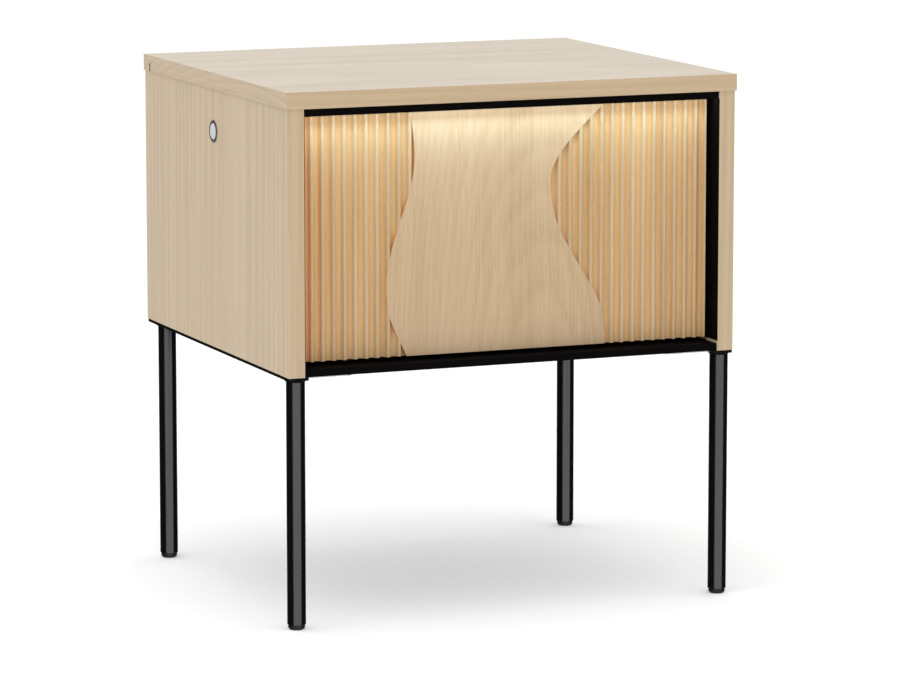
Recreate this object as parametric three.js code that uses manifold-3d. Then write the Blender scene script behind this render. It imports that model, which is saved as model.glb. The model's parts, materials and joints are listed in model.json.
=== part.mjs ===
// Bedside cabinet with one push-to-open drawer, a lamp strip under its top and four steel legs.
// Millimetres, +Z up. The origin is on the floor under the middle of the top.
// The front faces -Y, and +X is to the right of someone who faces it.
import * as THREE from "three";
import { mergeVertices } from "three/addons/utils/BufferGeometryUtils.js";
import Module from "manifold-3d";

const wasm = await Module();
wasm.setup();

// ---- Driving dimensions ------------------------------------------------------------------

const WIDTH = 460;
const DEPTH = 410;
const HEIGHT = 508;
const BOARD = 16; // laminated top and sides
const OVERHANG = 1.5; // of the top, past the sides and past their front edges
const CASE_BOTTOM = 240.5;
const FIT = 0.2; // slack between pieces that are pushed into one another

const LEG = { radius: 9, wall: 1.5, inset: 10, frontInset: 10, backInset: 31 };
const FOOT = { radius: 8, height: 5, chamfer: 1.8, spigot: 12 };
const RAIL = { width: 20, thickness: 3, length: 405, holeRadius: 2.5, holes: [-160, -55, 55, 140] };
const PLATE = { length: 46.5, depth: 40, thickness: 2, setBack: 8.5, corner: 5, holeRadius: 2.5 };

const BASE = { thickness: 7, setBack: 2 };
const BACK = { thickness: 2.8, groove: 3, grooveDepth: 8, setIn: 17.5, slack: 0.5 };
const TRIM = { thickness: 0.6, depth: 38, footGap: 3 };
const CAM = { radius: 7.5, depth: 12.5, drop: 34, slot: 2, front: -140, back: 130 };

const LAMP = { depth: 16, height: 7.5, lip: 2, web: 1.5, backLip: 1.5, backGap: 2 };
const STRIP = { width: 10, thickness: 1.2, endGap: 4 };
const DIFFUSER = { thickness: 1.5, rise: 1 };

const SWITCH = { y: 1, z: 451, flange: 10.75, proud: 1.2, barrel: 9.5, bore: 8.4, length: 20 };
const CAP = { radius: 8.1, proud: 1.4, rim: 0.8, thickness: 3.4, stem: 2.5, stemEnd: 12.5 };
const HOUSING = { plug: 6.5, socket: 2.8, socketEnd: 15.5, length: 33 };
const INLET = { x: -150, z: 455, flange: 5.5, barrel: 4.2, depth: 10, socket: 3.15, floor: 2.5 };
const NUT = { thickness: 3, switchRadius: 13, inletRadius: 6.5 };
const LEAD = { radius: 1.2, sides: 8, standOff: 1.6 };
const CLIP = { halfWidth: 4, halfLength: 3, wall: 1.4 };

const FRONT = { width: 417, thickness: 18, recess: 20, gapBelow: 4, gapAbove: 2 };
const FLUTE = { count: 38, depth: 4.5, crest: 1.2, wavePad: 1.5 };
const BOX = { width: 400, board: 12, height: 150, length: 290.5, rise: 10.5 };
const FLOOR = { thickness: 3, rise: 8, tongue: 6 };
const SLIDE = { length: 290, sheet: 1.2, z: 300, setBack: 3.5 };
const LATCH = { z: 272, barrel: 7, bore: 4.3, setBack: 6, length: 53, foot: 34, footThickness: 3 };
const PLUNGER = { rod: 4, tip: 5, tipLength: 2.5, gap: 0.3, end: 51 };

// The edges of the smooth wave on the drawer front, as [x, height above the front's lower edge].
const WAVE_LEFT = [[-102.5, 0], [-119, 36], [-123, 72], [-115, 110], [-99.5, 155], [-94.3, 190], [-98.5, 231]];
const WAVE_RIGHT = [[102, 0], [96.3, 40], [74, 79], [52, 119], [44.8, 158], [53, 183], [74, 207], [100, 231]];

// ---- Levels and planes that follow from them ---------------------------------------------

const TOP_UNDERSIDE = HEIGHT - BOARD;
const SIDE_OUTER = WIDTH / 2 - OVERHANG;
const SIDE_INNER = SIDE_OUTER - BOARD;
const SIDE_FRONT = -DEPTH / 2 + OVERHANG;
const SIDE_BACK = DEPTH / 2;
const GROOVE_FRONT = SIDE_BACK - BACK.setIn - BACK.groove;
const GROOVE_BACK = GROOVE_FRONT + BACK.groove;
const GROOVE_END = SIDE_INNER + BACK.grooveDepth;
const BACK_FRONT = GROOVE_FRONT + (BACK.groove - BACK.thickness) / 2;
const BASE_TOP = CASE_BOTTOM + BASE.thickness;
const RAIL_BOTTOM = CASE_BOTTOM - RAIL.thickness;
const RAIL_INNER = SIDE_OUTER - RAIL.width;
const LAMP_FRONT = SIDE_FRONT + BASE.setBack;
const LAMP_BACK = LAMP_FRONT + LAMP.depth;
const LAMP_BOTTOM = TOP_UNDERSIDE - LAMP.height;
const FRONT_FACE = SIDE_FRONT + FRONT.recess;
const FRONT_BACK = FRONT_FACE + FRONT.thickness;
const FRONT_BOTTOM = BASE_TOP + FRONT.gapBelow;
const FRONT_TOP = LAMP_BOTTOM - FRONT.gapAbove;
const BOX_HALF = BOX.width / 2;
const BOX_INSIDE = BOX_HALF - BOX.board;
const BOX_BOTTOM = FRONT_BOTTOM + BOX.rise;
const BOX_TOP = BOX_BOTTOM + BOX.height;
const BOX_BACK = FRONT_BACK + BOX.length;
const FLOOR_BOTTOM = BOX_BOTTOM + FLOOR.rise;
const FLOOR_TOP = FLOOR_BOTTOM + FLOOR.thickness;

// ---- Finishes ----------------------------------------------------------------------------

const FINISHES = {
  oak: { color: 0xd6c3a3, roughness: 0.55, metalness: 0 },
  frontOak: { color: 0xc79a62, roughness: 0.5, metalness: 0 },
  blackBoard: { color: 0x0b0a09, roughness: 0.6, metalness: 0 },
  drawerBoard: { color: 0x2a2a2b, roughness: 0.65, metalness: 0 },
  blackSteel: { color: 0x141415, roughness: 0.45, metalness: 0.6 },
  blackAluminium: { color: 0x0d0d0e, roughness: 0.4, metalness: 0.5 },
  zinc: { color: 0xb9bcc0, roughness: 0.35, metalness: 0.9 },
  blackPlastic: { color: 0x111112, roughness: 0.5, metalness: 0 },
  greyPlastic: { color: 0x8d8f92, roughness: 0.5, metalness: 0 },
  whitePlastic: { color: 0xe9e9e6, roughness: 0.35, metalness: 0 },
  darkRing: { color: 0x3b342b, roughness: 0.3, metalness: 0.6 },
  opal: { color: 0xfff1d8, roughness: 0.6, metalness: 0 },
  circuit: { color: 0xf2e9d6, roughness: 0.6, metalness: 0 },
};

function part(name, geometry, finish, position = [0, 0, 0]) {
  const mesh = new THREE.Mesh(geometry, new THREE.MeshStandardMaterial(FINISHES[finish]));
  mesh.name = name;
  mesh.position.set(...position);
  return mesh;
}

function group(parts, position = [0, 0, 0]) {
  const parent = new THREE.Group();
  parent.add(...parts);
  parent.position.set(...position);
  return parent;
}

// A piece that is drawn on the right-hand side, and its mirror image on the left.
function pair(name, geometry, finish) {
  const right = part(`${name}_right`, geometry, finish);
  const left = part(`${name}_left`, geometry.clone(), finish);
  left.scale.x = -1;
  return [left, right];
}

// ---- Shape helpers -----------------------------------------------------------------------

// A block between its lowest and highest corners.
function block([x0, y0, z0], [x1, y1, z1]) {
  const geometry = new THREE.BoxGeometry(x1 - x0, y1 - y0, z1 - z0);
  return geometry.translate((x0 + x1) / 2, (y0 + y1) / 2, (z0 + z1) / 2);
}

function outline(points) {
  return new THREE.Shape(points.map(([a, b]) => new THREE.Vector2(a, b)));
}

function circleHole(x, y, radius) {
  const path = new THREE.Path();
  path.absarc(x, y, radius, 0, 2 * Math.PI, true);
  return path;
}

// A hexagon with a round hole in its middle.
function hexagon(radius, hole) {
  const corners = Array.from({ length: 6 }, (_, index) => (index * Math.PI) / 3);
  const shape = outline(corners.map((angle) => [radius * Math.cos(angle), radius * Math.sin(angle)]));
  shape.holes.push(circleHole(0, 0, hole));
  return shape;
}

function prism(shape, length, curveSegments = 6) {
  return new THREE.ExtrudeGeometry(shape, { depth: length, bevelEnabled: false, curveSegments });
}

// A prism whose shape is drawn in (x, y), from z0 to z1.
function prismZ(shape, z0, z1, curveSegments) {
  return prism(shape, z1 - z0, curveSegments).translate(0, 0, z0);
}

// A prism whose shape is drawn in (x, z), from y0 to y1.
function prismY(shape, y0, y1, curveSegments) {
  return prism(shape, y1 - y0, curveSegments).rotateX(Math.PI / 2).translate(0, y1, 0);
}

// A prism whose shape is drawn in (y, z), from x0 to x1.
function prismX(shape, x0, x1, curveSegments) {
  const turned = prism(shape, x1 - x0, curveSegments).rotateX(Math.PI / 2).rotateZ(Math.PI / 2);
  return turned.translate(x0, 0, 0);
}

// A solid of revolution about +Y, whose profile is [radius, distance along the axis].
function latheY(profile, segments = 24) {
  const points = profile.map(([radius, along]) => new THREE.Vector2(radius, along));
  return new THREE.LatheGeometry(points, segments);
}

const latheZ = (profile, segments) => latheY(profile, segments).rotateX(Math.PI / 2);
const latheX = (profile, segments) => latheY(profile, segments).rotateZ(-Math.PI / 2);

function rodProfile(radius, low, high) {
  return [[0, low], [radius, low], [radius, high], [0, high]];
}

function ringProfile(outer, inner, low, high) {
  return [[inner, low], [outer, low], [outer, high], [inner, high], [inner, low]];
}

// ---- Cutting and joining -----------------------------------------------------------------

function toSolid(geometry) {
  const bare = geometry.clone();
  bare.deleteAttribute("normal");
  bare.deleteAttribute("uv");
  const merged = mergeVertices(bare, 1e-4);
  const mesh = new wasm.Mesh({
    numProp: 3,
    vertProperties: Float32Array.from(merged.attributes.position.array),
    triVerts: Uint32Array.from(merged.index.array),
  });
  return new wasm.Manifold(mesh);
}

function toGeometry(solid) {
  const mesh = solid.getMesh();
  const geometry = new THREE.BufferGeometry();
  geometry.setAttribute("position", new THREE.BufferAttribute(mesh.vertProperties, 3));
  geometry.setIndex(new THREE.BufferAttribute(mesh.triVerts, 1));
  geometry.computeVertexNormals();
  return geometry;
}

function cut(geometry, ...tools) {
  return toGeometry(tools.reduce((solid, tool) => solid.subtract(toSolid(tool)), toSolid(geometry)));
}

function join(geometry, ...others) {
  return toGeometry(others.reduce((solid, other) => solid.add(toSolid(other)), toSolid(geometry)));
}

// ---- Case --------------------------------------------------------------------------------

// The groove for the back runs right through the top, and shows at both of its ends.
function topPanel() {
  const grooveTop = TOP_UNDERSIDE + BACK.grooveDepth;
  const section = outline([
    [-DEPTH / 2, TOP_UNDERSIDE],
    [GROOVE_FRONT, TOP_UNDERSIDE],
    [GROOVE_FRONT, grooveTop],
    [GROOVE_BACK, grooveTop],
    [GROOVE_BACK, TOP_UNDERSIDE],
    [DEPTH / 2, TOP_UNDERSIDE],
    [DEPTH / 2, HEIGHT],
    [-DEPTH / 2, HEIGHT],
  ]);
  return part("top_panel", prismX(section, -WIDTH / 2, WIDTH / 2), "oak");
}

// Both sides are grooved for the back and bored for two cam locks; the left one carries the switch.
function sidePanels() {
  const plan = outline([
    [SIDE_OUTER, SIDE_FRONT],
    [SIDE_OUTER, SIDE_BACK],
    [SIDE_INNER, SIDE_BACK],
    [SIDE_INNER, GROOVE_BACK],
    [GROOVE_END, GROOVE_BACK],
    [GROOVE_END, GROOVE_FRONT],
    [SIDE_INNER, GROOVE_FRONT],
    [SIDE_INNER, SIDE_FRONT],
  ]);
  const pockets = [CAM.front, CAM.back].map((y) => {
    const pocket = latheX(rodProfile(CAM.radius, SIDE_INNER - 1, SIDE_INNER + CAM.depth));
    return pocket.translate(0, y, TOP_UNDERSIDE - CAM.drop);
  });
  const [left, right] = pair("side_panel", cut(prismZ(plan, CASE_BOTTOM, TOP_UNDERSIDE), ...pockets), "oak");
  const drill = latheX(rodProfile(SWITCH.barrel + FIT, SIDE_INNER - 1, SIDE_OUTER + 1), 32);
  left.geometry = cut(left.geometry, drill.translate(0, SWITCH.y, SWITCH.z));
  return [left, right];
}

// Cam that pulls a side up against the top. Its screwdriver slot faces into the case.
function camLocks(row, y) {
  const low = SIDE_INNER + FIT;
  const body = latheX(rodProfile(CAM.radius - FIT, low, SIDE_INNER + CAM.depth - FIT));
  const half = CAM.slot / 2;
  const slot = block([low - 1, -CAM.radius + 2, -half], [low + 2, CAM.radius - 2, half]);
  const locks = pair(`cam_lock_${row}`, cut(body, slot), "zinc");
  locks.forEach((lock) => lock.position.set(0, y, TOP_UNDERSIDE - CAM.drop));
  return locks;
}

function bottomPanel() {
  const low = [-SIDE_INNER, SIDE_FRONT + BASE.setBack, CASE_BOTTOM];
  return part("bottom_panel", block(low, [SIDE_INNER, GROOVE_FRONT, BASE_TOP]), "blackBoard");
}

// Thin sheet that stands in the grooves of the top and the sides, with a hole for the inlet.
function backPanel() {
  const half = GROOVE_END - BACK.slack;
  const top = TOP_UNDERSIDE + BACK.grooveDepth - BACK.slack;
  const sheet = outline([[-half, CASE_BOTTOM], [half, CASE_BOTTOM], [half, top], [-half, top]]);
  const hole = latheY(rodProfile(INLET.barrel + FIT, BACK_FRONT - 1, GROOVE_BACK + 1));
  const board = prismY(sheet, BACK_FRONT, BACK_FRONT + BACK.thickness);
  return part("back_panel", cut(board, hole.translate(INLET.x, 0, INLET.z)), "blackBoard");
}

// Thin black lining on the sides, in the mouth of the case beside the drawer front.
function sideTrims() {
  const low = [SIDE_INNER - TRIM.thickness, SIDE_FRONT, BASE_TOP + TRIM.footGap];
  return pair("side_trim", block(low, [SIDE_INNER, SIDE_FRONT + TRIM.depth, LAMP_BOTTOM]), "blackAluminium");
}

// ---- Lamp under the front of the top -----------------------------------------------------

function lampProfile() {
  const ceiling = TOP_UNDERSIDE - LAMP.web;
  const section = outline([
    [LAMP_FRONT, LAMP_BOTTOM],
    [LAMP_FRONT + LAMP.lip, LAMP_BOTTOM],
    [LAMP_FRONT + LAMP.lip, ceiling],
    [LAMP_BACK - LAMP.backLip, ceiling],
    [LAMP_BACK - LAMP.backLip, LAMP_BOTTOM + LAMP.backGap],
    [LAMP_BACK, LAMP_BOTTOM + LAMP.backGap],
    [LAMP_BACK, TOP_UNDERSIDE],
    [LAMP_FRONT, TOP_UNDERSIDE],
  ]);
  return part("lamp_profile", prismX(section, -SIDE_INNER, SIDE_INNER), "blackAluminium");
}

function lampStrip() {
  const middle = (LAMP_FRONT + LAMP.lip + LAMP_BACK - LAMP.backLip) / 2;
  const top = TOP_UNDERSIDE - LAMP.web;
  const half = SIDE_INNER - STRIP.endGap;
  const low = [-half, middle - STRIP.width / 2, top - STRIP.thickness];
  return part("lamp_strip", block(low, [half, middle + STRIP.width / 2, top]), "circuit");
}

function lampDiffuser() {
  const bottom = LAMP_BOTTOM + DIFFUSER.rise;
  const low = [FIT - SIDE_INNER, LAMP_FRONT + LAMP.lip + FIT, bottom];
  const high = [SIDE_INNER - FIT, LAMP_BACK - LAMP.backLip - FIT, bottom + DIFFUSER.thickness];
  return part("lamp_diffuser", block(low, high), "opal");
}

// ---- Push switch in the left-hand side ---------------------------------------------------
// Its profiles run inwards from the outer face of the side.

function switchBezel() {
  const profile = [
    [SWITCH.bore, -SWITCH.proud],
    [SWITCH.flange - 0.4, -SWITCH.proud],
    [SWITCH.flange, 0.4 - SWITCH.proud],
    [SWITCH.flange, 0],
    [SWITCH.barrel, 0],
    [SWITCH.barrel, SWITCH.length],
    [SWITCH.bore, SWITCH.length],
    [SWITCH.bore, -SWITCH.proud],
  ];
  return part("switch_bezel", latheX(profile, 32), "darkRing");
}

function switchNut() {
  const low = BOARD + FIT;
  const nut = prismX(hexagon(NUT.switchRadius, SWITCH.barrel + 2 * FIT), low, low + NUT.thickness);
  return part("switch_nut", nut, "zinc");
}

function switchHousing() {
  const shoulder = SWITCH.length + FIT;
  const profile = [
    [0, HOUSING.socketEnd],
    [HOUSING.socket, HOUSING.socketEnd],
    [HOUSING.socket, HOUSING.plug],
    [SWITCH.bore - FIT, HOUSING.plug],
    [SWITCH.bore - FIT, shoulder],
    [SWITCH.barrel, shoulder],
    [SWITCH.barrel, HOUSING.length],
    [0, HOUSING.length],
  ];
  return part("switch_housing", latheX(profile), "blackPlastic");
}

function switchButton() {
  const inner = CAP.thickness - CAP.proud;
  const profile = [
    [0, -CAP.proud],
    [CAP.radius - CAP.rim, -CAP.proud],
    [CAP.radius, CAP.rim - CAP.proud],
    [CAP.radius, inner],
    [CAP.stem, inner],
    [CAP.stem, CAP.stemEnd],
    [0, CAP.stemEnd],
  ];
  return part("switch_button", latheX(profile, 32), "whitePlastic");
}

function lampSwitch() {
  const parts = [switchBezel(), switchNut(), switchHousing(), switchButton()];
  return group(parts, [-SIDE_OUTER, SWITCH.y, SWITCH.z]);
}

// ---- Low-voltage inlet in the back, and the leads inside the case -------------------------
// The inlet's profiles run backwards from the inner face of the back panel.

function powerInlet() {
  const face = BACK.thickness + FIT;
  const rim = face + 1.5;
  const floor = INLET.floor - INLET.depth;
  const profile = [
    [0, -INLET.depth],
    [INLET.barrel, -INLET.depth],
    [INLET.barrel, face],
    [INLET.flange, face],
    [INLET.flange, rim],
    [INLET.socket, rim],
    [INLET.socket, floor],
    [0, floor],
  ];
  const jack = part("power_inlet", latheY(profile), "blackPlastic");
  const hexNut = prismY(hexagon(NUT.inletRadius, INLET.barrel + FIT), -FIT - NUT.thickness, -FIT);
  const nut = part("power_inlet_nut", hexNut, "zinc");
  return group([jack, nut], [INLET.x, BACK_FRONT, INLET.z]);
}

function lead(name, points, steps) {
  const section = new THREE.Shape();
  section.absarc(0, 0, LEAD.radius, 0, 2 * Math.PI, false);
  const path = new THREE.CatmullRomCurve3(points.map((point) => new THREE.Vector3(...point)));
  const options = { steps, bevelEnabled: false, extrudePath: path, curveSegments: LEAD.sides / 2 };
  return part(name, new THREE.ExtrudeGeometry(section, options), "blackPlastic");
}

const HOUSING_END = HOUSING.length - SIDE_OUTER;
const LEAD_BY_SIDE = LEAD.standOff - SIDE_INNER;
const LEAD_BY_TOP = TOP_UNDERSIDE - LEAD.standOff;
const LAMP_LEAD_X = -190;

// From the inlet, round the back corner and along the side, to the switch.
function supplyLead() {
  const start = BACK_FRONT - INLET.depth - 0.6;
  return lead("supply_lead", [
    [INLET.x, start, INLET.z],
    [INLET.x, start - 3, INLET.z],
    [INLET.x - 8, start - 9, INLET.z],
    [INLET.x - 36, start - 10, INLET.z],
    [LEAD_BY_SIDE + 8, start - 20, INLET.z],
    [LEAD_BY_SIDE + 1, start - 50, INLET.z],
    [LEAD_BY_SIDE, 100, INLET.z],
    [LEAD_BY_SIDE, 70, INLET.z],
    [LEAD_BY_SIDE + 1, 50, INLET.z],
    [LEAD_BY_SIDE + 6, 30, INLET.z - 1],
    [HOUSING_END + 8, 14, INLET.z - 3],
    [HOUSING_END + 6, 6, SWITCH.z],
    [HOUSING_END + 1, 5, SWITCH.z],
  ], 44);
}

// From the switch, up to the underside of the top and forwards to the lamp.
function lampLead() {
  return lead("lamp_lead", [
    [HOUSING_END + 1, -4, SWITCH.z],
    [HOUSING_END + 5, -4.5, SWITCH.z + 1],
    [LAMP_LEAD_X, -10, SWITCH.z + 20],
    [LAMP_LEAD_X, -24, LEAD_BY_TOP - 6],
    [LAMP_LEAD_X, -42, LEAD_BY_TOP - 0.6],
    [LAMP_LEAD_X, -60, LEAD_BY_TOP],
    [LAMP_LEAD_X, -80, LEAD_BY_TOP],
    [LAMP_LEAD_X, -150, LEAD_BY_TOP],
    [LAMP_LEAD_X, LAMP_BACK + 0.3, LEAD_BY_TOP],
  ], 40);
}

// A saddle that holds a lead against a board. It hangs below z = 0, where the board is.
function saddle() {
  const hold = LEAD.radius + 0.3;
  const height = LEAD.standOff + hold + CLIP.wall;
  const side = CLIP.halfWidth;
  const shape = outline([[-side, 0], [-side, -height], [side, -height], [side, 0], [hold, 0]]);
  shape.absarc(0, -LEAD.standOff, hold, 0, -Math.PI, true);
  shape.lineTo(-hold, 0);
  return prismY(shape, -CLIP.halfLength, CLIP.halfLength, 4);
}

function cableClips() {
  const bySide = saddle().rotateY(-Math.PI / 2);
  return [
    part("cable_clip_front", saddle(), "greyPlastic", [LAMP_LEAD_X, -150, TOP_UNDERSIDE]),
    part("cable_clip_middle", saddle(), "greyPlastic", [LAMP_LEAD_X, -80, TOP_UNDERSIDE]),
    part("cable_clip_side", bySide, "greyPlastic", [-SIDE_INNER, 85, INLET.z]),
  ];
}

// ---- Legs --------------------------------------------------------------------------------

// Steel flats under the sides, drilled for the screws that hold them to the boards.
function legRails() {
  const end = RAIL.length / 2;
  const plan = outline([[RAIL_INNER, -end], [SIDE_OUTER, -end], [SIDE_OUTER, end], [RAIL_INNER, end]]);
  for (const y of RAIL.holes) {
    plan.holes.push(circleHole(SIDE_OUTER - BOARD / 2, y, RAIL.holeRadius));
  }
  return pair("leg_rail", prismZ(plan, RAIL_BOTTOM, CASE_BOTTOM), "blackSteel");
}

// Zinc-plated plates that tie a rail to the bottom panel, with their corners rounded inwards.
function cornerPlates(row, low) {
  const { length, depth, thickness, corner } = PLATE;
  const outer = RAIL_INNER - FIT;
  const inner = outer - length;
  const high = low + depth;
  const plan = new THREE.Shape();
  plan.moveTo(outer, high);
  plan.lineTo(inner + corner, high);
  plan.absarc(inner + corner, high - corner, corner, Math.PI / 2, Math.PI, false);
  plan.absarc(inner + corner, low + corner, corner, Math.PI, 1.5 * Math.PI, false);
  plan.lineTo(outer, low);
  for (const share of [0.4, 0.8]) {
    plan.holes.push(circleHole(outer - share * length, (low + high) / 2, PLATE.holeRadius));
  }
  return pair(`corner_plate_${row}`, prismZ(plan, CASE_BOTTOM - thickness, CASE_BOTTOM, 3), "zinc");
}

// A steel tube and the plastic glide that is pushed into its lower end.
function legs(row, y) {
  const x = SIDE_OUTER - LEG.inset;
  const bore = LEG.radius - LEG.wall;
  const spigot = bore - FIT;
  const tube = latheZ(ringProfile(LEG.radius, bore, FOOT.height, RAIL_BOTTOM));
  const glide = latheZ([
    [0, 0],
    [FOOT.radius - FOOT.chamfer, 0],
    [FOOT.radius, FOOT.chamfer],
    [FOOT.radius, FOOT.height],
    [spigot, FOOT.height],
    [spigot, FOOT.height + FOOT.spigot],
    [0, FOOT.height + FOOT.spigot],
  ]);
  return [
    ...pair(`leg_${row}`, tube.translate(x, y, 0), "blackSteel"),
    ...pair(`foot_${row}`, glide.translate(x, y, 0), "blackPlastic"),
  ];
}

// ---- Drawer slides -----------------------------------------------------------------------

// A channel whose web is at x = web, and whose flanges reach to x = reach.
function channel(web, reach, halfHeight) {
  const inside = web + Math.sign(reach - web) * SLIDE.sheet;
  const low = SLIDE.z - halfHeight;
  const high = SLIDE.z + halfHeight;
  const section = outline([
    [web, low],
    [reach, low],
    [reach, low + SLIDE.sheet],
    [inside, low + SLIDE.sheet],
    [inside, high - SLIDE.sheet],
    [reach, high - SLIDE.sheet],
    [reach, high],
    [web, high],
  ]);
  const front = FRONT_BACK + SLIDE.setBack;
  return prismY(section, front, front + SLIDE.length);
}

// Three channels nested in one another: on the case, in the middle, and on the drawer.
function slides() {
  return [
    ...pair("slide_case", channel(SIDE_INNER, SIDE_INNER - 9.5, 22.5), "zinc"),
    ...pair("slide_middle", channel(SIDE_INNER - 2.8, SIDE_INNER - 10, 18.6), "zinc"),
    ...pair("slide_drawer", channel(BOX_HALF, BOX_HALF + 7.4, 14.7), "zinc"),
  ];
}

// ---- Push-to-open latch behind the drawer ------------------------------------------------

const LATCH_FRONT = BOX_BACK + LATCH.setBack;
const LATCH_BACK = LATCH_FRONT + LATCH.length;

function latchHousing() {
  const half = LATCH.foot / 2;
  const footTop = BASE_TOP + LATCH.footThickness;
  const foot = block([-half, LATCH_FRONT, BASE_TOP], [half, LATCH_BACK, footTop]);
  const post = block([-LATCH.bore, LATCH_FRONT, footTop - 1], [LATCH.bore, LATCH_BACK, LATCH.z]);
  const barrel = latheY(rodProfile(LATCH.barrel, LATCH_FRONT, LATCH_BACK)).translate(0, 0, LATCH.z);
  const bore = latheY(rodProfile(LATCH.bore, LATCH_FRONT - 1, LATCH_BACK - 3)).translate(0, 0, LATCH.z);
  return part("latch_housing", cut(join(foot, post, barrel), bore), "greyPlastic");
}

function latchPlunger() {
  const tip = BOX_BACK + PLUNGER.gap;
  const shoulder = tip + PLUNGER.tipLength;
  const profile = [
    [0, tip],
    [PLUNGER.tip - 0.8, tip],
    [PLUNGER.tip, tip + 0.8],
    [PLUNGER.tip, shoulder],
    [PLUNGER.rod, shoulder],
    [PLUNGER.rod, tip + PLUNGER.end],
    [0, tip + PLUNGER.end],
  ];
  return part("latch_plunger", latheY(profile), "whitePlastic", [0, 0, LATCH.z]);
}

// ---- Drawer ------------------------------------------------------------------------------

// Board with a row of round-bottomed flutes down its face, seen from above.
function flutedBoard() {
  const pitch = FRONT.width / FLUTE.count;
  const halfFlute = (pitch - FLUTE.crest) / 2;
  const radius = (halfFlute ** 2 + FLUTE.depth ** 2) / (2 * FLUTE.depth);
  const sweep = Math.asin(halfFlute / radius);
  const centreY = FRONT_FACE + FLUTE.depth - radius;
  const edge = FRONT.width / 2;
  const plan = outline([[edge, FRONT_BACK], [-edge, FRONT_BACK], [-edge, FRONT_FACE]]);
  for (let flute = 0; flute < FLUTE.count; flute += 1) {
    const centreX = (flute + 0.5) * pitch - edge;
    plan.absarc(centreX, centreY, radius, Math.PI / 2 + sweep, Math.PI / 2 - sweep, true);
  }
  plan.lineTo(edge, FRONT_FACE);
  return prismZ(plan, FRONT_BOTTOM, FRONT_TOP, 4);
}

// Smooth panel between two wavy edges, level with the crests of the flutes.
function wave() {
  const curve = (points) => new THREE.SplineCurve(points.map(([x, rise]) => new THREE.Vector2(x, rise)));
  const left = curve(WAVE_LEFT).getPoints(24);
  const right = curve(WAVE_RIGHT).getPoints(28).reverse();
  const shape = new THREE.Shape([...left, ...right]);
  const slab = prismY(shape, FRONT_FACE, FRONT_FACE + FLUTE.depth + FLUTE.wavePad);
  return slab.translate(0, 0, FRONT_BOTTOM);
}

function drawerFront() {
  const half = BOX_INSIDE + FLOOR.tongue + FIT;
  const low = [-half, FRONT_BACK - FLOOR.tongue - FIT, FLOOR_BOTTOM - FIT];
  const groove = block(low, [half, FRONT_BACK + 1, FLOOR_TOP + FIT]);
  return part("drawer_front", cut(join(flutedBoard(), wave()), groove), "frontOak");
}

function drawerSides() {
  const grooveEnd = BOX_INSIDE + FLOOR.tongue + FIT;
  const section = outline([
    [BOX_INSIDE, BOX_BOTTOM],
    [BOX_HALF, BOX_BOTTOM],
    [BOX_HALF, BOX_TOP],
    [BOX_INSIDE, BOX_TOP],
    [BOX_INSIDE, FLOOR_TOP + FIT],
    [grooveEnd, FLOOR_TOP + FIT],
    [grooveEnd, FLOOR_BOTTOM - FIT],
    [BOX_INSIDE, FLOOR_BOTTOM - FIT],
  ]);
  return pair("drawer_side", prismY(section, FRONT_BACK, BOX_BACK), "drawerBoard");
}

function drawerBack() {
  const face = BOX_BACK - BOX.board;
  const grooveEnd = face + FLOOR.tongue + FIT;
  const section = outline([
    [face, BOX_BOTTOM],
    [BOX_BACK, BOX_BOTTOM],
    [BOX_BACK, BOX_TOP],
    [face, BOX_TOP],
    [face, FLOOR_TOP + FIT],
    [grooveEnd, FLOOR_TOP + FIT],
    [grooveEnd, FLOOR_BOTTOM - FIT],
    [face, FLOOR_BOTTOM - FIT],
  ]);
  return part("drawer_back", prismX(section, -BOX_INSIDE, BOX_INSIDE), "drawerBoard");
}

function drawerBottom() {
  const half = BOX_INSIDE + FLOOR.tongue;
  const low = [-half, FRONT_BACK - FLOOR.tongue, FLOOR_BOTTOM];
  const back = BOX_BACK - BOX.board + FLOOR.tongue;
  return part("drawer_bottom", block(low, [half, back, FLOOR_TOP]), "drawerBoard");
}

// ---- The whole cabinet -------------------------------------------------------------------

const cabinet = group([
  topPanel(),
  ...sidePanels(),
  ...camLocks("front", CAM.front),
  ...camLocks("back", CAM.back),
  bottomPanel(),
  backPanel(),
  ...sideTrims(),
  lampProfile(),
  lampStrip(),
  lampDiffuser(),
  lampSwitch(),
  powerInlet(),
  supplyLead(),
  lampLead(),
  ...cableClips(),
  ...legRails(),
  ...cornerPlates("front", SIDE_FRONT + PLATE.setBack),
  ...cornerPlates("back", GROOVE_FRONT - PLATE.depth),
  ...legs("front", SIDE_FRONT + LEG.frontInset),
  ...legs("back", SIDE_BACK - LEG.backInset),
  ...slides(),
  latchHousing(),
  latchPlunger(),
  drawerFront(),
  ...drawerSides(),
  drawerBack(),
  drawerBottom(),
]);

export default cabinet;
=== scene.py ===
import json
import math

import bmesh
import bpy
from mathutils import Matrix, Vector


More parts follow.
